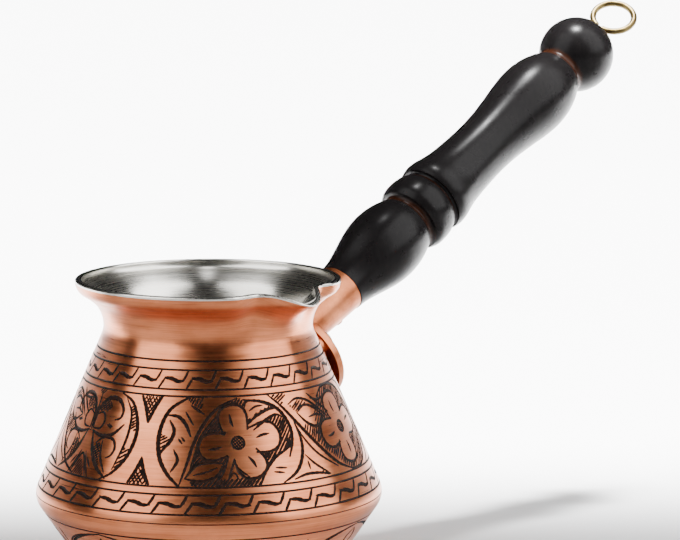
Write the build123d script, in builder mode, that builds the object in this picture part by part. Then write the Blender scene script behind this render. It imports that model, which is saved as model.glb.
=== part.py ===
"""Turkish coffee pot (cezve): tinned copper pot, riveted socket bracket, turned wooden handle.

Frame: the origin is the centre of the flat base, +Z is up, the handle leaves along +X and rises,
the pouring lip points along -Y. Millimetres and degrees throughout.
"""

import os
from math import cos, exp, radians, sin, tan

from build123d import *

os.makedirs("parts", exist_ok=True)

# --- Pot ---------------------------------------------------------------------------------------
POT_HEIGHT = 88.0
COPPER_WALL = 1.5
TIN_LAYER = 0.3
BELLY_RADIUS = 51.1  # where the shoulder and the lower cone would meet, were the belly not round
BELLY_HEIGHT = 24.8
LOWER_LEAN = 34.4
SHOULDER_LEAN = -23.1

# Stations up the wall: radius, height, outward lean of the wall, reach of the pouring lip.
STATIONS = [
    (32.4, 0.0, 90.0, 0.0),
    (34.3, 0.7, 58.0, 0.0),
    (36.0, 2.8, LOWER_LEAN, 0.0),
    (41.4, 10.7, LOWER_LEAN, 0.0),
    (46.6, 18.3, LOWER_LEAN, 0.0),
    (49.2, 22.1, LOWER_LEAN, 0.0),
    (50.3, 25.4, 0.0, 0.0),
    (49.8, 27.9, SHOULDER_LEAN, 0.0),
    (48.0, 32.1, SHOULDER_LEAN, 0.0),
    (43.6, 42.4, SHOULDER_LEAN, 0.0),
    (38.4, 54.6, SHOULDER_LEAN, 0.0),
    (33.7, 65.6, SHOULDER_LEAN, 0.0),
    (31.6, 70.4, -20.0, 0.0),
    (30.3, 74.4, 0.0, 0.0),
    (30.7, 77.3, 17.0, 0.7),
    (32.0, 80.2, 33.0, 2.4),
    (34.6, 82.7, 50.0, 4.3),
    (37.3, 84.5, 46.0, 5.4),
    (38.4, 87.0, 4.0, 5.6),
    (38.4, 91.0, 0.0, 5.6),
]
LIP_HALF_ANGLE = 8.7
PINCH_ANGLE = 21.0
PINCH_HALF_ANGLE = 8.0
PINCH_DEPTH = 0.6  # inward pinch beside the lip, as a share of the lip's reach
LIP_DIP = 3.3
LIP_DIP_HALF_WIDTH = 11.0
RING_ANGLES = [0, 5, 10, 15, 20, 25, 30, 37, 47, 60, 75, 90, 105, 120, 135, 150, 165]  # from the lip

BORDER_HEIGHTS = [69.0, 66.6, 61.4, 59.6, 35.6, 33.6, 28.4, 20.9]
BORDER_GROOVE_RADIUS = 0.35

# --- Handle line: distances named "station" run along it from the pot's axis --------------------
HANDLE_RISE = 30.4
HANDLE_LINE_HEIGHT = 46.5  # where the handle's centre line crosses the pot's axis

# --- Socket bracket ----------------------------------------------------------------------------
PLATE_CENTRE_HEIGHT = 62.3
PLATE_THICKNESS = 2.6
PLATE_BITE = 0.06  # the plate's middle is filed this deep to bed on the round wall
PLATE_TOP = 12.0
PLATE_SIDE = [(8.5, 10.6), (14.2, 6.4), (17.1, 0.2), (16.6, -6.0), (12.9, -11.8), (6.5, -15.3)]
PLATE_TIP = -16.6
PLATE_EDGE_ROUND = 0.7
SOCKET_FOOT = 38.0
SOCKET_FOOT_RADIUS = 6.15
FERRULE_END = 63.9
FERRULE_END_RADIUS = 7.65
TENON_START = 46.0
TENON_START_RADIUS = 5.2
TENON_END_RADIUS = 6.5
FIT_GAP = 0.05

# --- Rivets: sideways, upward on the plate, depth of the inner head behind the plate ------------
RIVETS = {
    "rivet_front": (-11.6, 3.6, 6.0),
    "rivet_rear": (11.6, 3.6, 6.0),
    "rivet_bottom": (0.0, -11.8, 3.1),
}
RIVET_RADIUS = 1.5
RIVET_HEAD_RADIUS = 2.8
RIVET_HEAD_HEIGHT = 1.2
RIVET_HEAD_ROUND = 0.8
RIVET_DRILL = 9.0
BOSS_RADIUS = 3.2

# --- Pin through the underside of the socket ----------------------------------------------------
PIN_STATION = 57.5
PIN_RADIUS = 0.8
PIN_TIP = 1.2
PIN_SEAT = 7.5
PIN_HEAD_RADIUS = 1.8
PIN_HEAD_HEIGHT = 0.7
PIN_HEAD_ROUND = 0.4

# --- Wooden handle: station and radius of the turned beads --------------------------------------
BULB = [(63.95, 7.85), (70.9, 8.95), (79.7, 11.2), (85.0, 11.8), (90.6, 11.35), (96.0, 9.75)]
RING = [(98.5, 10.4), (100.4, 11.4), (102.8, 11.6), (105.4, 11.35), (107.6, 10.6)]
GRIP = [
    (109.3, 11.1), (111.2, 11.6), (117.0, 10.75), (126.7, 9.6), (136.0, 9.27),
    (145.4, 9.75), (154.9, 11.0), (163.3, 11.77), (171.3, 10.7), (176.6, 8.5),
]
BULB_GROOVE = (97.2, 9.0)
RING_GROOVE = (108.4, 9.7)
BALL_GROOVE = (178.2, 7.8)
BALL_CENTRE = 187.9
BALL_RADIUS = 11.75
BALL_FOOT_RADIUS = 8.4

# --- Screw eye ---------------------------------------------------------------------------------
EYE_CENTRE = 208.8
EYE_RADIUS = 6.5
EYE_WIRE_RADIUS = 1.0
EYE_ROLL = 25.0
EYE_OPENING = 22.0
THREAD_RADIUS = 1.15
THREAD_START = 188.5
THREAD_END = 198.5
THREAD_TIP = 186.5


def wall_radius(height):
    """Radius of the unrounded shoulder or lower cone at a height."""
    wall_lean = SHOULDER_LEAN if height > BELLY_HEIGHT else LOWER_LEAN
    return BELLY_RADIUS + (height - BELLY_HEIGHT) * tan(radians(wall_lean))


# --- Frames ------------------------------------------------------------------------------------
rise = radians(HANDLE_RISE)
shoulder = radians(SHOULDER_LEAN)
handle_line = Axis((0, 0, HANDLE_LINE_HEIGHT), (cos(rise), 0, sin(rise)))
handle_down = Vector(sin(rise), 0, -cos(rise))
meridian = Plane(handle_line.position, x_dir=handle_line.direction, z_dir=(0, -1, 0))
plate_plane = Plane((wall_radius(PLATE_CENTRE_HEIGHT), 0, PLATE_CENTRE_HEIGHT),
                    x_dir=(0, 1, 0), z_dir=(cos(shoulder), 0, -sin(shoulder))).offset(-PLATE_BITE)


def handle_point(station):
    """Point on the handle's centre line."""
    return handle_line.position + handle_line.direction * station


def handle_plane(station):
    """Plane square to the handle's centre line."""
    return Plane(handle_point(station), x_dir=(0, 1, 0), z_dir=handle_line.direction)


def rivet_plane(spot):
    """Plane on the back of the plate at one rivet."""
    sideways, upward, _ = spot
    return Plane(plate_plane.from_local_coords(Vector(sideways, upward)),
                 x_dir=plate_plane.x_dir, z_dir=plate_plane.z_dir)


def lip_shape(angle):
    """Share of the lip's reach at an angle from it: a tongue with a pinch on either side."""
    tongue = exp(-((angle / LIP_HALF_ANGLE) ** 2))
    pinch = exp(-(((abs(angle) - PINCH_ANGLE) / PINCH_HALF_ANGLE) ** 2))
    return tongue - PINCH_DEPTH * pinch


def pot_form(inset):
    """The pot's outer form as one solid, shrunk by an inset and run on past the rim."""
    around = sorted({*RING_ANGLES, 180, *(360 - a for a in RING_ANGLES[1:])})
    with BuildPart() as form:
        for radius, height, wall_lean, reach in STATIONS:
            tilt = radians(wall_lean)
            with BuildSketch(Plane.XY.offset(height + inset * sin(tilt))):
                with BuildLine():
                    Spline(*[
                        Vector(0, -radius + inset * cos(tilt) - reach * lip_shape(min(a, 360 - a)))
                        .rotate(Axis.Z, a) for a in around
                    ], periodic=True)
                make_face()
        loft()
    return form.part


def open_mouth():
    """Trim the running part at the rim and dip the rim at the lip."""
    with BuildSketch(Plane.XY.offset(POT_HEIGHT)) as above_rim:
        Circle(BELLY_RADIUS)
    extrude(above_rim.sketch, amount=POT_HEIGHT, mode=Mode.SUBTRACT)
    with BuildSketch(Plane.XZ) as dip:
        with BuildLine():
            edge = Line((LIP_DIP_HALF_WIDTH, POT_HEIGHT), (-LIP_DIP_HALF_WIDTH, POT_HEIGHT))
            Spline(edge @ 1, (0, POT_HEIGHT - LIP_DIP), edge @ 0, tangents=((1, 0), (1, 0)))
        make_face()
    extrude(dip.sketch, amount=BELLY_RADIUS, mode=Mode.SUBTRACT)


def drill_rivets():
    """Cut the rivet holes through whatever lies in line with them."""
    with BuildSketch(*[rivet_plane(spot) for spot in RIVETS.values()]) as holes:
        Circle(RIVET_RADIUS)
    extrude(holes.sketch, amount=RIVET_DRILL, both=True, mode=Mode.SUBTRACT)


def drill_pin():
    """Cut the pin's hole from its tip out through the underside."""
    tip = handle_point(PIN_STATION) + handle_down * PIN_TIP
    with BuildSketch(Plane(tip, z_dir=handle_down)) as hole:
        Circle(PIN_RADIUS)
    extrude(hole.sketch, amount=PIN_SEAT, mode=Mode.SUBTRACT)


outer_form = pot_form(0)
tin_form = pot_form(COPPER_WALL)
cavity_form = pot_form(COPPER_WALL + TIN_LAYER)

# --- Copper pot --------------------------------------------------------------------------------
with BuildPart() as pot_body:
    add(outer_form)
    add(tin_form, mode=Mode.SUBTRACT)
    open_mouth()
    with BuildSketch(Plane.XZ):
        with Locations(*[(wall_radius(height), height) for height in BORDER_HEIGHTS]):
            Circle(BORDER_GROOVE_RADIUS)
    revolve(axis=Axis.Z, mode=Mode.SUBTRACT)
    drill_rivets()
pot_body.part.label = "pot_body"

# --- Tin lining --------------------------------------------------------------------------------
with BuildPart() as tin_lining:
    add(tin_form)
    add(cavity_form, mode=Mode.SUBTRACT)
    open_mouth()
    drill_rivets()
tin_lining.part.label = "tin_lining"

# --- Socket bracket: shield plate, rivet bosses and tapered socket ------------------------------
with BuildPart() as handle_socket:
    with BuildSketch(plate_plane):
        with BuildLine():
            other_side = [(-sideways, upward) for sideways, upward in reversed(PLATE_SIDE)]
            Spline((0, PLATE_TOP), *PLATE_SIDE, (0, PLATE_TIP), *other_side, periodic=True)
        make_face()
    extrude(amount=PLATE_THICKNESS)
    plate_face = handle_socket.faces().sort_by(Axis(plate_plane.origin, plate_plane.z_dir))[-1]
    fillet(plate_face.edges(), PLATE_EDGE_ROUND)
    with BuildSketch(*[rivet_plane(spot) for spot in RIVETS.values()]):
        Circle(BOSS_RADIUS)
    extrude(amount=-BOSS_RADIUS)
    with BuildSketch(handle_plane(SOCKET_FOOT)):
        Circle(SOCKET_FOOT_RADIUS)
    with BuildSketch(handle_plane(FERRULE_END)):
        Circle(FERRULE_END_RADIUS)
    loft()
    with BuildSketch(handle_plane(SOCKET_FOOT)):
        Circle(SOCKET_FOOT_RADIUS)
    extrude(amount=-SOCKET_FOOT_RADIUS)
    add(outer_form, mode=Mode.SUBTRACT)
    with BuildSketch(handle_plane(TENON_START)):
        Circle(TENON_START_RADIUS)
    with BuildSketch(handle_plane(FERRULE_END)):
        Circle(TENON_END_RADIUS)
    loft(mode=Mode.SUBTRACT)
    drill_rivets()
    drill_pin()
handle_socket.part.label = "handle_socket"

# --- Rivets: a shank through plate and wall, a head on either side ------------------------------
rivets = []
for name, spot in RIVETS.items():
    with BuildPart() as inner_head:
        with BuildSketch(rivet_plane(spot)):
            Circle(RIVET_HEAD_RADIUS)
        extrude(amount=-spot[2])
        add(cavity_form, mode=Mode.INTERSECT)
    with BuildPart() as rivet:
        with BuildSketch(rivet_plane(spot).offset(PLATE_THICKNESS)):
            Circle(RIVET_HEAD_RADIUS)
        extrude(amount=RIVET_HEAD_HEIGHT)
        head_rim = rivet.edges().sort_by(Axis(plate_plane.origin, plate_plane.z_dir))[-1]
        fillet(head_rim, RIVET_HEAD_ROUND)
        with BuildSketch(rivet_plane(spot).offset(PLATE_THICKNESS)):
            Circle(RIVET_RADIUS)
        extrude(amount=-PLATE_THICKNESS - spot[2])
        add(inner_head.part)
    rivet.part.label = name
    rivets.append(rivet.part)

# --- Wooden handle: tenon, bulb, ring, grip and ball turned from one piece ----------------------
with BuildPart() as wooden_handle:
    with BuildSketch(meridian):
        with BuildLine():
            ball_foot = BALL_CENTRE - (BALL_RADIUS ** 2 - BALL_FOOT_RADIUS ** 2) ** 0.5
            Polyline((BALL_CENTRE + BALL_RADIUS, 0), (TENON_START, 0),
                     (TENON_START, TENON_START_RADIUS - FIT_GAP),
                     (BULB[0][0], TENON_END_RADIUS - FIT_GAP), BULB[0])
            Spline(*BULB)
            ThreePointArc(BULB[-1], BULB_GROOVE, RING[0])
            Spline(*RING)
            ThreePointArc(RING[-1], RING_GROOVE, GRIP[0])
            Spline(*GRIP)
            ThreePointArc(GRIP[-1], BALL_GROOVE, (ball_foot, BALL_FOOT_RADIUS))
            ThreePointArc((ball_foot, BALL_FOOT_RADIUS), (BALL_CENTRE, BALL_RADIUS),
                          (BALL_CENTRE + BALL_RADIUS, 0))
        make_face()
    revolve(axis=handle_line)
    with BuildSketch(handle_plane(THREAD_TIP)):
        Circle(THREAD_RADIUS + FIT_GAP)
    extrude(amount=BALL_RADIUS * 2, mode=Mode.SUBTRACT)
    drill_pin()
wooden_handle.part.label = "wooden_handle"

# --- Pin ---------------------------------------------------------------------------------------
with BuildPart() as handle_pin:
    seat = handle_point(PIN_STATION) + handle_down * PIN_SEAT
    with BuildSketch(Plane(seat, z_dir=handle_down)):
        Circle(PIN_HEAD_RADIUS)
    extrude(amount=PIN_HEAD_HEIGHT)
    fillet(handle_pin.edges().sort_by(Axis(seat, handle_down))[-1], PIN_HEAD_ROUND)
    with BuildSketch(Plane(seat, z_dir=handle_down)):
        Circle(PIN_RADIUS)
    extrude(amount=PIN_TIP - PIN_SEAT)
handle_pin.part.label = "handle_pin"

# --- Screw eye: one wire, threaded into the ball and bent round into a ring ---------------------
roll = radians(EYE_ROLL)
eye_axis = Axis(handle_point(EYE_CENTRE), -handle_down * cos(roll) + Vector(0, -1, 0) * sin(roll))
with BuildPart() as screw_eye:
    with BuildSketch(Plane(handle_point(EYE_CENTRE - EYE_RADIUS), x_dir=handle_line.direction,
                           z_dir=handle_line.direction.cross(eye_axis.direction))):
        Circle(EYE_WIRE_RADIUS)
    revolve(axis=eye_axis, revolution_arc=360 - EYE_OPENING)
    with BuildSketch(handle_plane(EYE_CENTRE - EYE_RADIUS)):
        Circle(EYE_WIRE_RADIUS)
    extrude(amount=THREAD_END - EYE_CENTRE + EYE_RADIUS)
    with BuildSketch(handle_plane(THREAD_END)):
        Circle(THREAD_RADIUS)
    extrude(amount=THREAD_START - THREAD_END)
    with BuildSketch(handle_plane(THREAD_START)):
        Circle(THREAD_RADIUS)
    extrude(amount=THREAD_TIP - THREAD_START, taper=25)
screw_eye.part.label = "screw_eye"

export_step(pot_body.part, "parts/pot_body.step")
export_step(tin_lining.part, "parts/tin_lining.step")
export_step(handle_socket.part, "parts/handle_socket.step")
for rivet_part in rivets:
    export_step(rivet_part, f"parts/{rivet_part.label}.step")
export_step(wooden_handle.part, "parts/wooden_handle.step")
export_step(handle_pin.part, "parts/handle_pin.step")
export_step(screw_eye.part, "parts/screw_eye.step")
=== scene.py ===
"""Looks of the turkish coffee pot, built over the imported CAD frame. Drawing sizes are millimetres."""

import bpy
import numpy as np
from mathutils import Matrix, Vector, geometry


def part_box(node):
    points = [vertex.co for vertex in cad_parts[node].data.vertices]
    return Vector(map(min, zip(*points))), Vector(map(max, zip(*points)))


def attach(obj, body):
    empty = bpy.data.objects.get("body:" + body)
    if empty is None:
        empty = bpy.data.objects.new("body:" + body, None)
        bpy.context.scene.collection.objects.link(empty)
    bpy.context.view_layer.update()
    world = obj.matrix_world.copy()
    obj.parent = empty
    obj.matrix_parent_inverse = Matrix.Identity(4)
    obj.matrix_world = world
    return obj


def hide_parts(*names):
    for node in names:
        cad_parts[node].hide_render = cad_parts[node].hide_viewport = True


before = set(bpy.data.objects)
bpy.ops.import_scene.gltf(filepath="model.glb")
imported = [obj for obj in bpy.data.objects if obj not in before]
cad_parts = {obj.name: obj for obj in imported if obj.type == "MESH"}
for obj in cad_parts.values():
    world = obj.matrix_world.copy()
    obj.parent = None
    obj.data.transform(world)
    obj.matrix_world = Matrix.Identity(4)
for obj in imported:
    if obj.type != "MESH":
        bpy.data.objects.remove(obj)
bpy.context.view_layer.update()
MM = 0.001

# --- Wall of the pot, as the CAD source states it: radius, height, outward lean, lip reach ------
STATIONS = np.array([
    (32.4, 0.0, 90.0, 0.0), (34.3, 0.7, 58.0, 0.0), (36.0, 2.8, 34.4, 0.0), (41.4, 10.7, 34.4, 0.0),
    (46.6, 18.3, 34.4, 0.0), (49.2, 22.1, 34.4, 0.0), (50.3, 25.4, 0.0, 0.0),
    (49.8, 27.9, -23.1, 0.0), (48.0, 32.1, -23.1, 0.0), (43.6, 42.4, -23.1, 0.0),
    (38.4, 54.6, -23.1, 0.0), (33.7, 65.6, -23.1, 0.0), (31.6, 70.4, -20.0, 0.0),
    (30.3, 74.4, 0.0, 0.0), (30.7, 77.3, 17.0, 0.7), (32.0, 80.2, 33.0, 2.4),
    (34.6, 82.7, 50.0, 4.3), (37.3, 84.5, 46.0, 5.4), (38.4, 87.0, 4.0, 5.6), (38.4, 91.0, 0.0, 5.6),
])
LIP_HALF_ANGLE, PINCH_ANGLE, PINCH_HALF_ANGLE, PINCH_DEPTH = 8.7, 21.0, 8.0, 0.6
LIP_DIP, LIP_DIP_HALF_WIDTH = 3.3, 11.0
RISE, LINE_HEIGHT = np.radians(30.4), 46.5  # slope of the handle's line and its height over the pot's axis
COPPER_WALL, TIN_LAYER, RIM_ROUND, RIM_TINNED = 1.5, 0.3, 0.4, 0.45
THIN_BORDER = 25.8
BORDER_HEIGHTS = [69.0, 66.6, 61.4, 59.6, 35.6, 33.6, 28.4, THIN_BORDER, 20.9]
BORDER_HALF_WIDTH, THIN_BORDER_HALF_WIDTH = 0.3, 0.16
RIM_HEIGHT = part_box("pot_body")[1].z / MM
CONE_TOP, NECK, LIP_START = 12, 13, 14  # stations
CURVE_LENGTH = 1.006  # length of a stretch of wall over its chord
HALVINGS = 40

LEAN = np.radians(STATIONS[:, 2])
KNOTS = np.concatenate([[0], np.cumsum(np.hypot(*np.diff(STATIONS[:, :2], axis=0).T) * CURVE_LENGTH)])
REACH_SLOPES = np.gradient(STATIONS[:, 3], KNOTS) * (STATIONS[:, 3] > 0)


def hermite(t, values, slopes):
    """Cubic through the stations' values with the given slopes, and its slope, at distances t."""
    i = np.clip(np.searchsorted(KNOTS, t, "right") - 1, 0, len(KNOTS) - 2)
    h = KNOTS[i + 1] - KNOTS[i]
    u = (t - KNOTS[i]) / h
    a, b, m, n = values[i], values[i + 1], slopes[i] * h, slopes[i + 1] * h
    value = a + m * u + (3 * (b - a) - 2 * m - n) * u ** 2 + (2 * (a - b) + m + n) * u ** 3
    slope = m + 2 * (3 * (b - a) - 2 * m - n) * u + 3 * (2 * (a - b) + m + n) * u ** 2
    return value, slope / h


def lip_shape(angle):
    """Share of the lip's reach at an angle from it."""
    a = np.abs((angle + 180) % 360 - 180)
    pinch = np.exp(-(((a - PINCH_ANGLE) / PINCH_HALF_ANGLE) ** 2))
    return np.exp(-((a / LIP_HALF_ANGLE) ** 2)) - PINCH_DEPTH * pinch


def wall(angle, t, inset=0.0):
    """Points of the wall, in millimetres: angle in degrees from the lip, t along the wall from the base."""
    radius, dr = hermite(t, STATIONS[:, 0], np.sin(LEAN))
    height, dz = hermite(t, STATIONS[:, 1], np.cos(LEAN))
    reach, _ = hermite(t, STATIONS[:, 3], REACH_SLOPES)
    length = np.hypot(dr, dz)
    out = radius - inset * dz / length + reach * lip_shape(angle)
    a = np.radians(angle)
    return np.stack([out * np.sin(a), -out * np.cos(a), height + inset * dr / length], -1)


def rim_t(angle, inset, below=0.0):
    """Where the wall meets the rim, which dips at the lip."""
    low, high = np.full(len(angle), KNOTS[NECK]), np.full(len(angle), KNOTS[-1])
    for _ in range(HALVINGS):
        mid = (low + high) / 2
        p = wall(angle, mid, inset)
        u = np.clip(np.abs(p[:, 0]) / LIP_DIP_HALF_WIDTH, 0, 1)
        dip = np.where(p[:, 1] < 0, LIP_DIP * (1 - u * u * (3 - 2 * u)), 0)
        over = p[:, 2] > RIM_HEIGHT - dip - below
        low, high = np.where(over, low, mid), np.where(over, mid, high)
    return low


def t_at(height):
    """Distance along the wall at a height."""
    samples = np.linspace(0, KNOTS[-1], 4000)
    return float(np.interp(height, hermite(samples, STATIONS[:, 1], np.cos(LEAN))[0], samples))


# --- Drawing plane: x along the band at its middle radius, v along the wall ----------------------
BAND_RADIUS = 41.0
PER_DEGREE = np.radians(1) * BAND_RADIUS
SEAM = -270.0  # angle of the seam, under the handle
COLUMNS = np.arange(0, 361, 2) + SEAM
BAND_MIDDLE = (t_at(BORDER_HEIGHTS[3]) + t_at(BORDER_HEIGHTS[4])) / 2
BAND_HALF = (t_at(BORDER_HEIGHTS[3]) - t_at(BORDER_HEIGHTS[4])) / 2
BURIN = 1.35  # width of every burin cut over its drawn width
HATCH_STEP, SHORTEST_HATCH = 0.12, 5  # step along a hatching line, and the fewest steps worth a cut
strokes = []  # (points, half widths) in the drawing plane


def curve(points, step=0.5):
    """Smooth line through points, sampled evenly."""
    p = np.array(points, float)
    if len(p) > 2:
        ends = np.vstack([2 * p[0] - p[1], p, 2 * p[-1] - p[-2]])
        u = np.linspace(0, 1, 12, endpoint=False)[:, None]
        spans = []
        for a, b, c, d in zip(ends, ends[1:], ends[2:], ends[3:]):
            spans.append(b + 0.5 * u * (c - a) + u ** 2 * (a - 2.5 * b + 2 * c - 0.5 * d)
                         + u ** 3 * (1.5 * (b - c) + 0.5 * (d - a)))
        p = np.vstack([*spans, p[-1:]])
    along = np.concatenate([[0], np.cumsum(np.hypot(*np.diff(p, axis=0).T))])
    even = np.linspace(0, along[-1], max(4, int(along[-1] / step)) + 1)
    return np.stack([np.interp(even, along, p[:, 0]), np.interp(even, along, p[:, 1])], -1)


def cut(points, width=0.6, offset=(0.0, 0.0), swell=0.75):
    """One burin cut: thin at its ends, fuller in the middle."""
    line = curve(points) + np.array(offset)
    u = np.linspace(0, 1, len(line))
    full = (1 - swell) + swell * np.sin(np.pi * np.clip(u, 0.03, 0.97)) ** 0.6
    ripple = 1 + 0.10 * np.sin(u * len(line) * 1.9 + line[0, 0] * 3)
    strokes.append((line, BURIN * width / 2 * full * ripple))


def inside(points, polygon):
    """Which points lie inside a polygon."""
    x, y = points[:, 0], points[:, 1]
    found = np.zeros(len(points), bool)
    for (x0, y0), (x1, y1) in zip(polygon, np.roll(polygon, -1, axis=0)):
        if y0 != y1:
            found ^= ((y0 > y) != (y1 > y)) & (x < (x1 - x0) * (y - y0) / (y1 - y0) + x0)
    return found


def hatch(region, keep_out, degrees, spacing=0.85, width=0.3, offset=(0.0, 0.0)):
    """Parallel cuts over a region, left out over the kept shapes."""
    a = np.radians(degrees)
    along, across = np.array([np.cos(a), np.sin(a)]), np.array([-np.sin(a), np.cos(a)])
    reach = np.abs(region - region.mean(0)).max() * 1.5
    for k in np.arange(-reach, reach, spacing):
        steps = np.arange(-reach, reach, HATCH_STEP)
        line = region.mean(0) + across * (k + 0.13 * np.sin(k * 9)) + steps[:, None] * along
        kept = inside(line, region)
        for shape in keep_out:
            kept &= ~inside(line, shape)
        edges = np.flatnonzero(np.diff(np.concatenate([[0], kept, [0]])))
        for first, last in zip(edges[::2], edges[1::2]):
            if last - first > SHORTEST_HATCH:
                cut([line[first], line[last - 1]], width, offset, swell=0.4)


def petal(centre, degrees, length, width):
    """Outline of a rounded petal, open at its foot."""
    a = np.radians(degrees)
    side = [(0.34, 0.42), (0.46, 0.46), (0.68, 0.5), (0.9, 0.37)]
    local = [(length * u, width * w) for u, w in side]
    local = [*local, (length, 0), *[(u, -w) for u, w in reversed(local)]]
    turn = np.array([[np.cos(a), np.sin(a)], [-np.sin(a), np.cos(a)]])
    return curve(np.array(local) @ turn + np.array(centre))


def flower(centre, petals, offset, seed_radius=1.6):
    """Petals with a slit in each, round a crosshatched seed disc; the shapes to keep plain come back."""
    outlines = []
    for degrees, length, width in petals:
        outline = petal(centre, degrees, length, width)
        cut(outline, 0.74, offset, swell=0.5)
        outlines.append(outline)
        a = np.radians(degrees + 4)
        way = np.array([np.cos(a), np.sin(a)])
        bend = np.array([-way[1], way[0]]) * 0.25
        cut([centre + way * length * 0.42, centre + way * length * 0.58 + bend,
             centre + way * length * 0.76], 0.66, offset, swell=0.95)
    turn = np.radians(np.arange(0, 361, 24))
    ring = np.stack([np.cos(turn), np.sin(turn)], -1)
    disc = np.array(centre) + seed_radius * ring
    cut(disc, 0.5, offset, swell=0.2)
    for degrees in (35, 125):
        hatch(disc, [], degrees, 0.62, 0.34, offset)
    return [*outlines, np.array(centre) + 4.7 * ring]


def closed(*sides):
    """A kept shape from its sides in order."""
    return np.vstack([curve(side) for side in sides])


def medallion(x):
    """Five-fold flower in a round medallion with ribbons and leaves."""
    offset = (x, BAND_MIDDLE)
    rim_left = [(-14.5, 12.9), (-20.2, 9.0), (-22.5, 2.6), (-21.8, -4.2), (-19.2, -9.2), (-15.8, -12.9)]
    rim_right = [(3.0, 11.9), (9.0, 11.0), (14.0, 8.3), (16.6, 3.3), (16.3, -1.2), (14.4, -5.6)]
    ribbon_outer = [(-15.8, -12.7), (-14.0, -6.2), (-12.4, -0.4), (-9.6, 5.4), (-5.6, 9.7), (0.2, 12.4)]
    ribbon_inner = [(-13.4, -9.6), (-11.9, -3.8), (-10.2, 1.6), (-7.4, 5.6), (-5.4, 8.0)]
    bow_top = [(3.2, 4.7), (6.2, 7.0), (10.4, 8.7), (14.4, 8.9)]
    bow_low = [(4.9, 3.1), (8.8, 5.6), (12.6, 7.0), (15.0, 6.0)]
    leaf_top = [(-14.4, -10.6), (-11.6, -6.8), (-8.0, -5.9), (-4.2, -6.2)]
    leaf_low = [(-4.2, -6.2), (-6.2, -9.9), (-10.0, -11.3), (-14.4, -10.6)]
    leaf_high = [(2.4, 8.4), (3.8, 11.4), (7.6, 11.2), (11.2, 9.6)]
    leaf_back = [(11.2, 9.6), (8.2, 8.8), (5.2, 7.2), (3.0, 5.6)]
    lobe = [(4.9, -12.8), (6.9, -8.8), (10.2, -5.2), (15.0, -2.8)]
    lobe_outer = [(15.0, -2.8), (18.6, -4.4), (15.5, -10.0), (10.4, -12.9)]
    petals = flower(np.array([0.0, -0.4]), [(99, 11.3, 8.8), (188, 11.3, 7.9), (297, 11.2, 8.3),
                                            (9, 12.9, 8.7)], offset, seed_radius=1.8)
    cut(rim_left, 1.0, offset, swell=0.6)
    cut(rim_right, 0.95, offset)
    cut(leaf_high, 0.5, offset)
    cut([(4.2, 8.6), (6.4, 9.8), (8.8, 10.0)], 0.5, offset)
    for line in (ribbon_outer, ribbon_inner, bow_top, bow_low, leaf_top, leaf_low, lobe):
        cut(line, 0.75, offset)
    stem_left = [(-2.9, -4.2), (-4.2, -8.0), (-5.3, -10.6)]
    stem_right = [(-1.4, -4.9), (-2.4, -8.4), (-3.3, -11.0)]
    cut(stem_left, 0.5, offset)
    cut(stem_right, 0.5, offset)
    cut([(-12.2, -9.6), (-8.8, -8.6), (-6.0, -7.4)], 0.5, offset)
    cut([(-3.6, -11.6), (-1.8, -9.0), (-0.4, -11.2)], 0.4, offset)
    keep = [*petals, closed(ribbon_outer, ribbon_inner[::-1]), closed(bow_top, bow_low[::-1]),
            closed(leaf_top, leaf_low), closed(lobe, lobe_outer), closed(stem_left, stem_right[::-1]),
            closed(leaf_high, leaf_back),
            closed([(-3.4, -10.8), (-1.9, -5.2)], [(-1.9, -5.2), (-0.2, -8.2), (2.7, -10.6)])]
    cut([(-1.7, -5.4), (-0.4, -8.0), (2.4, -10.4)], 0.5, offset)
    ground = closed(ribbon_outer[1:], rim_right, [(14.4, -5.6), (6.0, -12.7), (-12.8, -12.7)])
    hatch(ground, keep, 52, 0.8, 0.56, offset)
    # leaves between the rim and the ribbon
    cut([(-20.4, 7.6), (-17.2, 7.2), (-14.8, 4.9), (-13.3, 1.5)], 0.85, offset)
    cut([(-19.8, 6.2), (-18.2, 3.2), (-19.0, 0.2), (-20.6, -2.0), (-21.7, -4.0)], 0.9, offset)
    cut([(-17.8, -2.4), (-16.6, -5.4), (-18.2, -8.8)], 0.7, offset)
    cut([(-16.8, 0.9), (-15.6, -0.6)], 0.5, offset)
    cut([(-16.0, 1.4), (-14.9, 0.1)], 0.5, offset)
    hatch(closed([(-22.3, 2.4), (-19.2, 0.4), (-21.6, -3.6)]), [], 30, offset=offset, width=0.48)
    hatch(closed([(-15.4, 12.7), (-11.0, 9.6), (-9.6, 12.9)]), [], 60, offset=offset, width=0.48)
    cut([(-13.6, 10.6), (-9.4, 8.0)], 0.6, offset)
    cut([(-15.2, 8.8), (-12.6, 4.8)], 0.5, offset)
    cut([(9.6, -8.2), (12.9, -8.6)], 0.5, offset)
    cut([(9.0, -9.4), (12.0, -9.9)], 0.5, offset)
    hatch(closed([(15.4, 2.6), (16.6, 2.2), (16.1, -2.4), (13.6, -3.0)]), [], 60, offset=offset, width=0.48)


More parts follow.
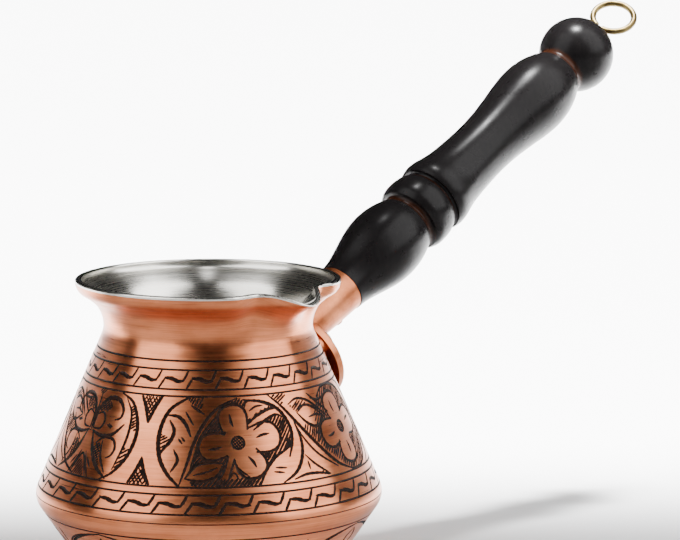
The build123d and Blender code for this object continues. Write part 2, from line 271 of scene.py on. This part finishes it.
def scrolls(x):
    """Slanting ribbon and leaves between the medallion and the next flower."""
    offset = (x, BAND_MIDDLE)
    cut([(11.2, 12.9), (15.6, 8.8), (20.6, 2.4), (26.0, -4.6), (31.0, -9.8), (36.4, -12.6)], 0.95, offset)
    cut([(18.4, 4.6), (19.4, -1.0), (18.4, -5.8), (15.6, -10.0), (11.2, -12.8)], 0.85, offset)
    cut([(18.8, 3.4), (20.6, -1.0), (24.2, -6.0), (30.4, -10.8)], 0.6, offset)
    cut([(19.4, -5.6), (22.2, -8.8), (26.4, -12.2)], 0.6, offset)
    cut([(14.4, -12.2), (18.4, -11.2), (22.6, -11.4), (26.6, -12.4)], 0.7, offset)
    cut([(19.8, -7.4), (20.0, -10.0)], 0.5, offset)
    leaf_top = [(20.4, 6.7), (24.0, 8.6), (27.8, 7.4), (31.4, 4.2)]
    leaf_low = [(31.4, 4.2), (27.2, 1.9), (23.4, 3.4), (20.4, 6.7)]
    cut(leaf_top, 0.7, offset)
    cut(leaf_low, 0.8, offset)
    cut([(24.6, 4.9), (28.0, 5.3), (30.8, 4.4)], 0.55, offset)
    cut([(17.8, 9.4), (21.4, 10.8), (25.6, 9.9), (29.6, 7.1), (33.0, 4.0)], 0.7, offset)
    cut([(26.6, 11.8), (31.0, 8.0), (34.6, 5.0)], 0.7, offset)
    cut([(27.6, 10.2), (31.4, 9.4), (35.4, 10.2)], 0.6, offset)
    hatch(closed([(18.2, 8.8), (21.6, 10.2), (25.0, 9.4), (23.4, 8.4), (20.4, 7.0)]), [], 35,
          offset=offset, width=0.5)
    hatch(closed([(21.6, 1.8), (23.2, 3.2), (27.0, 1.6), (28.4, 0.2), (25.6, -3.6)]), [], 60,
          offset=offset, width=0.5)
    hatch(closed([(11.8, 12.8), (15.2, 9.8), (18.0, 12.8)]), [], 30, offset=offset, width=0.48)
    hatch(closed([(22.6, -11.6), (26.2, -12.6), (25.0, -10.6)]), [], 40, offset=offset, width=0.48)


def open_flower(x):
    """Four-petalled flower in a pointed oval."""
    offset = (x, BAND_MIDDLE)
    petals = flower(np.array([0.0, 0.0]), [(188, 11.0, 8.4), (96, 10.8, 9.6), (268, 10.9, 8.4),
                                           (8, 11.0, 8.4)], offset, seed_radius=1.7)
    oval = [(-7.6, 10.2), (-3.0, 12.6), (4.0, 12.4), (9.4, 9.6), (12.9, 3.4), (13.1, -3.0), (10.0, -8.8),
            (4.0, -12.4), (-2.6, -12.6)]
    left_side = [(-2.6, -12.6), (-12.0, -4.0), (-12.6, -0.2), (-11.0, 6.0), (-7.6, 10.2)]
    hatch(closed(oval, left_side), petals, 48, offset=offset, width=0.5)
    cut(oval, 0.85, offset)
    outer_band(x)


def outer_band(x):
    """Hatched band outside the oval flowers, with plain windows."""
    offset = (x, BAND_MIDDLE)
    outer = [(9.2, 12.8), (14.2, 10.4), (17.0, 5.4), (17.5, 0.4), (15.8, -5.6), (12.4, -10.4), (8.6, -12.9)]
    inner = [(11.6, 11.4), (14.3, 7.6), (14.9, 3.0), (14.3, -2.0), (12.2, -9.4)]
    cut(outer, 0.95, offset)
    cut(inner, 0.7, offset)
    hatch(closed([(12.8, 10.4), (15.6, 8.0), (17.0, 2.6), (14.9, 3.0), (14.4, 7.4)]), [], 35,
          offset=offset, width=0.5)
    hatch(closed([(14.3, -2.8), (16.6, -3.6), (14.6, -7.6), (12.6, -9.6), (13.6, -5.6)]), [], 35,
          offset=offset, width=0.5)


def scrolled_flower(x):
    """Mirrored scroll petals over a pair of leaves."""
    for side in (1, -1):
        flip = np.array([side, 1.0])

        def draw(points, width):
            cut(np.array(points) * flip, width, (x, BAND_MIDDLE))

        scroll = [(0.7, 1.4), (0.9, 7.0), (4.1, 10.5), (8.5, 10.7), (11.1, 8.2), (10.9, 5.6), (8.8, 4.6)]
        bulb = [(0.8, 5.4), (3.4, 6.3), (4.9, 4.2), (3.9, 1.7), (1.0, 1.3)]
        leaf = [(0.7, 0.7), (4.9, -0.4), (9.2, 0.4), (12.8, 3.8)]
        loop = [(3.9, -2.8), (6.6, -0.7), (10.0, -0.9), (11.4, -3.2), (10.6, -5.6), (8.9, -6.6)]
        draw(scroll, 1.0)
        draw(bulb, 0.6)
        draw(leaf, 0.9)
        draw(loop, 0.7)
        draw([(1.4, 0.2), (3.5, -5.2), (6.6, -9.4), (10.6, -12.4)], 0.95)
        draw([(6.4, -1.6), (7.0, -6.0), (9.8, -10.8)], 0.6)
        draw([(1.0, -5.6), (2.7, -9.8), (4.3, -12.8)], 0.55)
        draw([(2.4, -7.4), (4.4, -10.2)], 0.45)
        draw([(6.4, 2.9), (8.6, 2.6)], 0.7)
        draw([(7.0, 3.5), (8.0, 2.0)], 0.4)
        ground = closed([(1.2, 6.2), (2.6, 9.2), (5.2, 9.8), (6.4, 8.0), (4.8, 6.6), (3.4, 7.0)])
        wedge = closed([(3.2, -4.2), (4.6, -2.4), (6.0, -3.4), (6.6, -7.6), (8.6, -10.6), (6.0, -8.6)])
        for region in (ground * flip, wedge * flip):
            hatch(region, [], 40 * side, 0.7, 0.4, (x, BAND_MIDDLE))
            hatch(region, [], 130 * side, 1.1, 0.36, (x, BAND_MIDDLE))
    cut([(0.0, 11.8), (0.2, 6.0), (0.0, 0.6)], 0.7, (x, BAND_MIDDLE))
    cut([(-3.4, -12.8), (0.0, -6.4), (3.4, -12.8)], 0.6, (x, BAND_MIDDLE))
    hatch(closed([(-2.8, -12.8), (0.0, -8.0), (2.8, -12.8)]), [], 60, 0.7, 0.4, (x, BAND_MIDDLE))
    hatch(closed([(-2.6, 12.9), (0.0, 11.0), (2.6, 12.9)]), [], 40, 0.7, 0.4, (x, BAND_MIDDLE))
    outer_band(x)


def separator(x):
    """Two crosshatched triangles, point to point."""
    for side, half, tip in ((1, 3.6, 5.0), (-1, 3.0, -5.2)):
        base = side * (BAND_HALF - 0.3)
        left = [(-half, base), (-half * 0.42, base * 0.72), (0, tip)]
        right = [(half, base), (half * 0.42, base * 0.72), (0, tip)]
        cut(left, 0.8, (x, BAND_MIDDLE), swell=0.5)
        cut(right, 0.8, (x, BAND_MIDDLE), swell=0.5)
        region = closed(left, right[::-1])
        for degrees in (56, 124):
            hatch(region, [], degrees, 0.95, 0.44, (x, BAND_MIDDLE))


def running_waves(count, low_height, high_height, phase):
    """Row of slanting flicks, each run into a thick wavy cut."""
    low, high = t_at(low_height), t_at(high_height)
    middle, pitch = (low + high) / 2, 360 / count * PER_DEGREE
    rise = (high - low) / 2
    for k in range(-1, count + 1):
        place = (SEAM * PER_DEGREE + (k + phase) * pitch, middle)
        size = (pitch, rise)
        cut(np.array([(-0.03, -0.94), (0.08, -0.36), (0.19, 0.22)]) * size, 0.6, place, swell=0.4)
        cut(np.array([(0.15, 0.16), (0.42, 0.10), (0.66, -0.16), (0.86, -0.10)]) * size, 0.95, place,
            swell=0.6)
        cut(np.array([(0.83, -0.12), (0.92, 0.32), (1.01, 0.92)]) * size, 0.62, place, swell=0.4)


def hanging_petals(count, phase):
    """Pointed petals hanging from the lowest border."""
    top, pitch = t_at(BORDER_HEIGHTS[-1]), 360 / count * PER_DEGREE
    for k in range(-1, count + 1):
        place = (SEAM * PER_DEGREE + (k + phase) * pitch, top)
        for side in (1, -1):
            arc = np.array([(0.5 * pitch, -0.7), (0.36 * pitch, -2.0), (0.2 * pitch, -4.8),
                            (0.07 * pitch, -9.0), (0, -14.0)]) * (side, 1)
            cut(arc, 0.8, place, swell=0.6)
            cut(arc * (0.8, 0.82) + (0, -0.8), 0.4, place)
            drop = np.array([(0.5 * pitch, -2.4), (0.5 * pitch - 1.9, -6.0), (0.5 * pitch, -11.5)])
            cut(drop * (side, 1), 0.6, place)
        cut([(0, -2.6), (0.25, -6.0), (0, -9.4)], 0.6, place)


# --- The engraving -----------------------------------------------------------------------------
MEDALLION_ANGLE = -32.7
for k in (-3, -2, -1, 0, 1):
    centre = (MEDALLION_ANGLE + 120 * k) * PER_DEGREE
    medallion(centre)
    scrolls(centre)
    separator(centre - 26.6)
    (open_flower if k % 2 == 0 else scrolled_flower)(centre + 38.7)
running_waves(27, BORDER_HEIGHTS[2], BORDER_HEIGHTS[1], 0.2)
running_waves(32, BORDER_HEIGHTS[6], BORDER_HEIGHTS[5], 0.4)
hanging_petals(7, 0.1)
for height in BORDER_HEIGHTS:
    ring = np.stack([COLUMNS * PER_DEGREE, np.full(len(COLUMNS), t_at(height))], -1)
    half_width = THIN_BORDER_HALF_WIDTH if height == THIN_BORDER else BORDER_HALF_WIDTH
    strokes.append((ring, np.full(len(ring), half_width)))

# --- Triangulation of the unrolled wall --------------------------------------------------------
LEFT, RIGHT, TOP = COLUMNS[0] * PER_DEGREE, COLUMNS[-1] * PER_DEGREE, round(t_at(RIM_HEIGHT), 3)
PATTERN_DEPTH = 0.55  # depth of a cut as a share of its half width
LEAST_DEPTH = 0.003  # a face is cut when its middle lies deeper than this
PLAIN_FACE, CUT_FACE, TINNED_FACE = 0, 1, 2
STRETCHES = [(0, 2, 7), (2, 5, 11), (5, 8, 13), (8, CONE_TOP, 18), (CONE_TOP, LIP_START, 10)]
ROWS = [np.linspace(KNOTS[low], KNOTS[high], count) for low, high, count in STRETCHES]
ROWS += [np.linspace(KNOTS[LIP_START], TOP - RIM_TINNED, 16), [TOP - RIM_TINNED / 2, TOP]]
ROWS = np.unique(np.round(np.concatenate(ROWS), 4))


def cut_depth(points):
    """How deep the cuts go at points of the drawing plane."""
    depth = np.zeros(len(points))
    for line, half in strokes:
        low, high = line.min(0) - half.max(), line.max(0) + half.max()
        near = np.flatnonzero(((points > low) & (points < high)).all(1))
        if not len(near):
            continue
        p, a, b = points[near][:, None], line[:-1][None], line[1:][None]
        u = np.clip(((p - a) * (b - a)).sum(-1) / ((b - a) ** 2).sum(-1), 0, 1)
        gap = np.linalg.norm(p - a - u[..., None] * (b - a), axis=-1)
        room = half[:-1] + u * (half[1:] - half[:-1]) - gap
        depth[near] = np.maximum(depth[near], room.max(1))
    return np.maximum(depth, 0) * PATTERN_DEPTH


def unrolled_mesh():
    """Vertices and triangles of the wall in the drawing plane, with every cut's edges in it."""
    points, edges = [], []
    for line, half in strokes:
        ways = np.gradient(line, axis=0)
        ways /= np.linalg.norm(ways, axis=1)[:, None]
        across = np.stack([-ways[:, 1], ways[:, 0]], -1) * half[:, None]
        if line[:, 0].max() < LEFT - 1 or line[:, 0].min() > RIGHT + 1:
            continue
        for chain in (line + across, line, line - across):
            edges += [(len(points) + i, len(points) + i + 1) for i in range(len(chain) - 1)]
            points += [tuple(p) for p in chain]
        if half[0] < 0.2:
            count = len(line)
            edges += [(len(points) - 3 * count, len(points) - count),
                      (len(points) - 2 * count - 1, len(points) - 1)]
    for x in (LEFT, RIGHT):
        edges += [(len(points) + i, len(points) + i + 1) for i in range(len(ROWS) - 1)]
        points += [(x, v) for v in ROWS]
    for v in (0, TOP):
        edges += [(len(points) + i, len(points) + i + 1) for i in range(len(COLUMNS) - 1)]
        points += [(x * PER_DEGREE, v) for x in COLUMNS]
    points += [(x * PER_DEGREE, v) for x in COLUMNS[1:-1] for v in ROWS[1:-1]]
    found = geometry.delaunay_2d_cdt([Vector(p) for p in points], edges, [], 0, 1e-5, False)
    verts, faces = np.array([tuple(v) for v in found[0]]), np.array([f[:3] for f in found[2]])
    middle = verts[faces].mean(1)
    faces = faces[(middle[:, 0] > LEFT) & (middle[:, 0] < RIGHT)]
    used = np.unique(faces)
    renumber = np.full(len(verts), -1)
    renumber[used] = np.arange(len(used))
    return verts[used], renumber[faces]


RIM_OUTER = rim_t(COLUMNS, 0.0, RIM_ROUND)
NUDGE_ANGLE, NUDGE = 0.05, 0.02  # steps for the wall's slopes


def wall_points(drawn, depth=0.0):
    """Points and outward normals of the outer wall from places in the drawing plane."""
    angle = drawn[:, 0] / PER_DEGREE
    neck = KNOTS[NECK]
    share = np.clip((drawn[:, 1] - neck) / (TOP - neck), 0, 1)
    t = np.where(share > 0, neck + share * (np.interp(angle, COLUMNS, RIM_OUTER) - neck), drawn[:, 1])
    around = wall(angle + NUDGE_ANGLE, t) - wall(angle - NUDGE_ANGLE, t)
    up = wall(angle, t + NUDGE) - wall(angle, np.maximum(t - NUDGE, 0))
    normal = np.cross(around, up)
    normal /= np.linalg.norm(normal, axis=1)[:, None]
    return wall(angle, t) - normal * np.reshape(depth, (-1, 1)), normal


def grid_faces(first, columns, rows):
    """Quads of a grid of points stored row by row."""
    return [(first + r * columns + c, first + r * columns + c + 1,
             first + (r + 1) * columns + c + 1, first + (r + 1) * columns + c)
            for r in range(rows - 1) for c in range(columns - 1)]


def inner_rows(rim, near_rim, below):
    """Places along the wall of an inner surface's rows, from the rim down to the base."""
    top = KNOTS[CONE_TOP]
    return np.concatenate([np.linspace(1, 0, near_rim)[:, None] * (rim - top) + top,
                           np.repeat(np.linspace(top, 0, below)[1:, None], len(COLUMNS), 1)])


def flat_ring(radius, height):
    """A level ring of points round the axis, one for each column."""
    a = np.radians(COLUMNS)
    return np.stack([np.sin(a) * radius, -np.cos(a) * radius, np.full(len(a), height)], -1)


def mesh_object(name, points, faces, materials, material_index=None):
    """A mesh object in metres from points in millimetres."""
    mesh = bpy.data.meshes.new(name)
    mesh.from_pydata((np.asarray(points) * MM).tolist(), [], [tuple(map(int, f)) for f in faces])
    for material in materials:
        mesh.materials.append(material)
    if material_index is not None:
        mesh.polygons.foreach_set("material_index", np.asarray(material_index, np.int32))
    mesh.shade_smooth()
    mesh.update()
    made = bpy.data.objects.new(name, mesh)
    bpy.context.scene.collection.objects.link(made)
    return made


# --- Materials ---------------------------------------------------------------------------------
class Nodes:
    """Short way to write a node material."""

    SOCKETS = {"base": "Base Color", "metallic": "Metallic", "roughness": "Roughness", "normal": "Normal",
               "specular": "Specular IOR Level", "anisotropic": "Anisotropic", "tangent": "Tangent",
               "turn": "Anisotropic Rotation"}

    def __init__(self, name):
        self.material = bpy.data.materials.new(name)
        self.material.use_nodes = True
        self.tree = self.material.node_tree
        self.shader = self.tree.nodes["Principled BSDF"]

    def add(self, kind, settings=None, **inputs):
        node = self.tree.nodes.new("ShaderNode" + kind)
        for key, value in (settings or {}).items():
            setattr(node, key, value)
        for key, value in inputs.items():
            socket = node.inputs[int(key[1:])] if key[0] == "_" else node.inputs[key]
            if isinstance(value, bpy.types.NodeSocket):
                self.tree.links.new(value, socket)
            else:
                socket.default_value = value
        return node

    def math(self, operation, *values):
        inputs = {f"_{i}": v for i, v in enumerate(values)}
        return self.add("Math", {"operation": operation}, **inputs).outputs[0]

    def mix(self, factor, a, b):
        return self.add("Mix", {"data_type": "RGBA"}, _0=factor, _6=a, _7=b).outputs[2]

    def ramp(self, factor, *stops):
        node = self.add("ValToRGB", Fac=factor)
        elements = node.color_ramp.elements
        while len(elements) < len(stops):
            elements.new(0.5)
        for element, (place, value) in zip(elements, stops):
            element.position = place
            element.color = (*value, 1) if isinstance(value, tuple) else (value,) * 3 + (1,)
        return node.outputs[0]

    def set(self, **inputs):
        for key, value in inputs.items():
            socket = self.shader.inputs[self.SOCKETS[key]]
            if isinstance(value, bpy.types.NodeSocket):
                self.tree.links.new(value, socket)
            else:
                socket.default_value = value
        return self.material


def lathe_streaks(n, height_scale, around_scale=1.5):
    """Noise drawn out into rings round the pot's axis."""
    place = n.add("TexCoord").outputs["Object"]
    parts = n.add("SeparateXYZ", _0=place)
    flat = n.add("CombineXYZ", _0=parts.outputs[0], _1=parts.outputs[1])
    ring = n.add("VectorMath", {"operation": "NORMALIZE"}, _0=flat.outputs[0]).outputs[0]
    ring = n.add("VectorMath", {"operation": "SCALE"}, _0=ring, Scale=around_scale).outputs[0]
    radius = n.add("VectorMath", {"operation": "LENGTH"}, _0=flat.outputs[0]).outputs["Value"]
    tall = n.math("MULTIPLY", n.math("ADD", parts.outputs[2], radius), height_scale)
    lifted = n.add("CombineXYZ", _2=tall)
    return n.add("VectorMath", {"operation": "ADD"}, _0=ring, _1=lifted.outputs[0]).outputs[0], place


def brushed(name, light, dark, roughness, anisotropic, bump):
    """Metal turned and brushed round the pot's axis, with faint stains."""
    n = Nodes(name)
    ring, place = lathe_streaks(n, 2600)
    fine = n.add("TexNoise", Vector=ring, Scale=1.0, Detail=4.0, Roughness=0.65).outputs[0]
    wide_ring, _ = lathe_streaks(n, 330)
    wide = n.add("TexNoise", Vector=wide_ring, Scale=1.0, Detail=3.0).outputs[0]
    stain = n.add("TexNoise", Vector=place, Scale=55.0, Detail=4.0, Roughness=0.6).outputs[0]
    tone = n.math("ADD", n.math("MULTIPLY", fine, 0.35), n.math("MULTIPLY", wide, 0.35))
    tone = n.math("ADD", tone, n.math("MULTIPLY", stain, 0.3))
    colour = n.mix(n.ramp(tone, (0.35, 0.0), (0.62, 1.0)), (*dark, 1), (*light, 1))
    rough = n.math("ADD", n.math("MULTIPLY", fine, 0.16), roughness - 0.08)
    relief = n.add("Bump", Strength=bump, Distance=0.00004, Height=fine).outputs[0]
    around = n.add("Tangent", {"direction_type": "RADIAL", "axis": "Z"}).outputs[0]
    return n.set(base=colour, metallic=1.0, roughness=rough, normal=relief, anisotropic=anisotropic,
                 turn=0.25, tangent=around)


def patina(name):
    """Dark wax and oxide left in the cuts."""
    n = Nodes(name)
    place = n.add("TexCoord").outputs["Object"]
    grime = n.add("TexNoise", Vector=place, Scale=900.0, Detail=3.0).outputs[0]
    colour = n.ramp(grime, (0.35, (0.006, 0.0035, 0.0025)), (0.75, (0.035, 0.012, 0.006)))
    rough = n.math("ADD", n.math("MULTIPLY", grime, 0.2), 0.5)
    return n.set(base=colour, roughness=rough, specular=0.12)


def cast_metal(name, light, dark, roughness, grain):
    """Filed and polished casting with a soft uneven sheen."""
    n = Nodes(name)
    place = n.add("TexCoord").outputs["Object"]
    mottle = n.add("TexNoise", Vector=place, Scale=grain, Detail=5.0, Roughness=0.6).outputs[0]
    fine = n.add("TexNoise", Vector=place, Scale=grain * 9, Detail=3.0).outputs[0]
    colour = n.mix(n.ramp(mottle, (0.38, 0.0), (0.64, 1.0)), (*dark, 1), (*light, 1))
    rough = n.math("ADD", n.math("MULTIPLY", mottle, 0.2), roughness - 0.1)
    relief = n.add("Bump", Strength=0.35, Distance=0.00006, Height=fine).outputs[0]
    return n.set(base=colour, metallic=1.0, roughness=rough, normal=relief)


def lacquered_wood(name, start, along, bare_places):
    """Near-black lacquer, rubbed to brown wood in the turned grooves."""
    n = Nodes(name)
    place = n.add("TexCoord").outputs["Object"]
    from_start = n.add("VectorMath", {"operation": "SUBTRACT"}, _0=place, _1=start).outputs[0]
    station = n.add("VectorMath", {"operation": "DOT_PRODUCT"}, _0=from_start, _1=along).outputs["Value"]
    worn = n.add("TexNoise", Vector=place, Scale=240.0, Detail=4.0).outputs[0]
    rubbed = None
    for middle, half in bare_places:
        gap = n.math("ABSOLUTE", n.math("SUBTRACT", station, middle * MM))
        near = n.math("SUBTRACT", 1.0, n.math("DIVIDE", gap, half * MM))
        rubbed = near if rubbed is None else n.math("MAXIMUM", rubbed, near)
    rubbed = n.math("ADD", rubbed, n.math("MULTIPLY", n.math("SUBTRACT", worn, 0.5), 0.9))
    grain_place = n.add("Mapping", Vector=place, Scale=(900.0, 900.0, 130.0),
                        Rotation=(0, RISE - np.pi / 2, 0))
    grain = n.add("TexNoise", Vector=grain_place.outputs[0], Scale=1.0, Detail=5.0).outputs[0]
    black = n.mix(grain, (0.0045, 0.004, 0.0045, 1), (0.012, 0.0105, 0.0105, 1))
    brown = n.mix(grain, (0.012, 0.004, 0.002, 1), (0.038, 0.012, 0.005, 1))
    colour = n.mix(n.ramp(rubbed, (0.1, 0.0), (0.6, 1.0)), black, brown)
    rough = n.math("ADD", n.math("MULTIPLY", worn, 0.14), 0.22)
    relief = n.add("Bump", Strength=0.25, Distance=0.00005, Height=grain).outputs[0]
    return n.set(base=colour, roughness=rough, normal=relief, specular=0.1)


COPPER = brushed("brushed_copper", (0.82, 0.285, 0.13), (0.40, 0.108, 0.041), 0.30, 0.88, 0.4)
TINNED = brushed("wiped_tin", (0.96, 0.94, 0.88), (0.66, 0.63, 0.57), 0.28, 0.85, 0.5)
PATINA = patina("engraving_patina")
CASTING = cast_metal("cast_copper", (0.64, 0.22, 0.095), (0.38, 0.11, 0.042), 0.36, 120.0)
RIVET = cast_metal("hammered_rivet", (0.74, 0.34, 0.20), (0.36, 0.15, 0.09), 0.32, 260.0)
BRASS = cast_metal("bent_brass", (0.17, 0.125, 0.05), (0.08, 0.055, 0.022), 0.38, 300.0)
WOOD = lacquered_wood("black_lacquer", (0.0, 0.0, LINE_HEIGHT * MM), (np.cos(RISE), 0.0, np.sin(RISE)),
                      [(97.2, 1.4), (108.4, 0.6), (178.2, 1.7), (199.2, 0.7)])

# --- Pot ---------------------------------------------------------------------------------------
drawn, triangles = unrolled_mesh()
depth = cut_depth(drawn)
outer, normals = wall_points(drawn, depth)
middles = drawn[triangles].mean(1)
is_cut = cut_depth(middles) > LEAST_DEPTH
is_tinned = middles[:, 1] > TOP - RIM_TINNED
outer_index = np.where(is_tinned, TINNED_FACE, np.where(is_cut, CUT_FACE, PLAIN_FACE))

columns = len(COLUMNS)
RIM_ROUND_SHARE = 0.32  # share of the rim's thickness that its outer round takes
RIM_SHARES = (0.0, 0.03, 0.1, 0.2, RIM_ROUND_SHARE, 0.6, 1.0)
FLOOR_RADII = (0.0, 8.0, 16.0, 24.0)
BASE_RADII = (*FLOOR_RADII, 29.0, STATIONS[0, 0])
rim_inner = rim_t(COLUMNS, COPPER_WALL)
rim_from, rim_to = wall(COLUMNS, RIM_OUTER), wall(COLUMNS, rim_inner, COPPER_WALL)
inner_ts = inner_rows(rim_inner, 14, 26)
rows = []
for share in RIM_SHARES:
    row = rim_from + share * (rim_to - rim_from)
    turn = min(share / RIM_ROUND_SHARE, 1)
    row[:, 2] = rim_from[:, 2] + RIM_ROUND * np.sqrt(1 - (1 - turn) ** 2)
    rows.append(row)
rows += [wall(COLUMNS, ts, COPPER_WALL) for ts in inner_ts[1:]]
rows.append(flat_ring(0.0, COPPER_WALL))
base = [flat_ring(r, 0.0) for r in BASE_RADII]
shell, floor_rows = np.vstack(rows), np.vstack(base)
points = np.vstack([outer, shell, floor_rows])
shell_faces = grid_faces(len(outer), columns, len(rows))
base_faces = grid_faces(len(outer) + len(shell), columns, len(base))
faces = [*triangles.tolist(), *shell_faces, *base_faces]
index = np.concatenate([outer_index, np.full(len(shell_faces), TINNED_FACE),
                        np.full(len(base_faces), PLAIN_FACE)])
pot = mesh_object("engraved_pot", points, faces, [COPPER, PATINA, TINNED], index)


def own_normals(obj, known, wall_faces):
    """Normals of the first faces: the true wall's where it is plain, a cut face's own where it is cut."""
    mesh = obj.data
    loops = np.zeros(len(mesh.loops), np.int32)
    mesh.loops.foreach_get("vertex_index", loops)
    corner = np.zeros(len(mesh.loops) * 3, np.float32)
    mesh.corner_normals.foreach_get("vector", corner)
    corner = corner.reshape(-1, 3)
    starts = np.zeros(len(mesh.polygons), np.int32)
    mesh.polygons.foreach_get("loop_start", starts)
    flat = np.zeros(len(mesh.polygons) * 3, np.float32)
    mesh.polygons.foreach_get("normal", flat)
    owner = np.repeat(np.arange(len(starts)), np.diff([*starts, len(loops)]))
    face_index = np.zeros(len(starts), np.int32)
    mesh.polygons.foreach_get("material_index", face_index)
    plain = (face_index[owner] != CUT_FACE) & (owner < wall_faces)
    corner[plain] = known[loops[plain]]
    carved = (face_index[owner] == CUT_FACE) & (owner < wall_faces)
    corner[carved] = flat.reshape(-1, 3)[owner[carved]]
    mesh.normals_split_custom_set(corner.tolist())


own_normals(pot, normals, len(triangles))
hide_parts("pot_body")
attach(pot, "root")

# --- Tin lining --------------------------------------------------------------------------------
lining_inset = COPPER_WALL + TIN_LAYER
lining_rim = rim_t(COLUMNS, lining_inset)
rows = [flat_ring(0.0, COPPER_WALL)]
rows += [wall(COLUMNS, ts, COPPER_WALL) for ts in inner_ts[::-1]]
rows += [wall(COLUMNS, ts, lining_inset) for ts in inner_rows(lining_rim, 40, 60)]
rows += [flat_ring(r, lining_inset) for r in FLOOR_RADII[::-1]]
lining = mesh_object("tinned_inside", np.vstack(rows), grid_faces(0, columns, len(rows)), [TINNED])
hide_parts("tin_lining")
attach(lining, "root")

# --- Pieces kept from the CAD model ------------------------------------------------------------
KEPT = [("handle_socket", CASTING, "copper_casting"), ("wooden_handle", WOOD, "handle_wood"),
        ("screw_eye", BRASS, "eye_brass")]
KEPT += [(node, RIVET, "rivet") for node in ("rivet_front", "rivet_rear", "rivet_bottom", "handle_pin")]
for node, material, slot in KEPT:
    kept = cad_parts[node]
    kept.data.materials.clear()
    kept.data.materials.append(material)

# --- Floor, light and camera -------------------------------------------------------------------
HEADING, TILT = -46.0, 8.5  # degrees: the camera's place round the pot from the lip, and its look down
AIM_HEIGHT, AIM_RIGHT, AIM_UP, CAMERA_DISTANCE = 0.0873, 0.0381, 0.0029, 1.169
LIGHT_AIM_HEIGHT = 0.06
WORLD_STRENGTH = 0.02
FLOOR_RADIUS = 7000
SWEEP_SPREAD = 12.0  # narrow, so that it whitens the floor behind the pot and leaves the pot alone


def plain_stage():
    """A broad pale floor."""
    n = Nodes("pale_floor")
    place = n.add("TexCoord").outputs["Object"]
    tone = n.add("TexNoise", Vector=place, Scale=3.0, Detail=2.0).outputs[0]
    n.set(base=n.mix(tone, (0.86, 0.86, 0.86, 1), (0.90, 0.90, 0.90, 1)), roughness=0.6, specular=0.2)
    turn = np.radians(np.arange(0, 360, 6))
    ring = [(FLOOR_RADIUS * np.cos(a), FLOOR_RADIUS * np.sin(a), 0) for a in turn]
    floor = mesh_object("floor", ring, [range(len(ring))], [n.material])


def softbox(name, angle, distance, height, size, watts):
    """Area light aimed at the pot, at an angle round it from the camera."""
    light = bpy.data.lights.new(name, "AREA")
    light.shape = "RECTANGLE"
    light.size, light.size_y = size
    light.energy = watts
    made = bpy.data.objects.new(name, light)
    made.visible_camera = False
    bpy.context.scene.collection.objects.link(made)
    a = np.radians(angle + HEADING)
    made.location = (distance * np.sin(a), -distance * np.cos(a), height)
    aim = Vector((0, 0, LIGHT_AIM_HEIGHT)) - made.location
    made.rotation_euler = aim.to_track_quat("-Z", "Y").to_euler()
    return made


plain_stage()
world = bpy.data.worlds.new("studio")
bpy.context.scene.world = world
world.use_nodes = True
background = world.node_tree.nodes["Background"]
background.inputs["Color"].default_value = (1, 1, 1, 1)
background.inputs["Strength"].default_value = WORLD_STRENGTH
softbox("left_box", -58, 1.1, 1.0, (1.2, 1.6), 23)
softbox("right_box", 76, 1.1, 1.0, (1.3, 1.6), 32)
sweep = softbox("sweep_box", 180, 1.62, 1.0, (5.0, 3.0), 575)
sweep.rotation_euler = (0, 0, np.radians(HEADING))
sweep.data.spread = np.radians(SWEEP_SPREAD)

camera = bpy.data.objects.new("camera", bpy.data.cameras.new("camera"))
bpy.context.scene.collection.objects.link(camera)
bpy.context.scene.camera = camera
tilt, heading = np.radians(TILT), np.radians(HEADING)
ahead = Vector((-np.sin(heading), np.cos(heading), 0)) * np.cos(tilt) + Vector((0, 0, -np.sin(tilt)))
right = Vector((np.cos(heading), np.sin(heading), 0))
above = right.cross(ahead)
aim = Vector((0, 0, AIM_HEIGHT)) + right * AIM_RIGHT + above * AIM_UP
camera.location = aim - ahead * CAMERA_DISTANCE
camera.rotation_euler = ahead.to_track_quat("-Z", "Y").to_euler()
camera.data.lens, camera.data.sensor_width = 214.2, 36.0
camera.data.clip_start, camera.data.clip_end = 0.01, 50.0
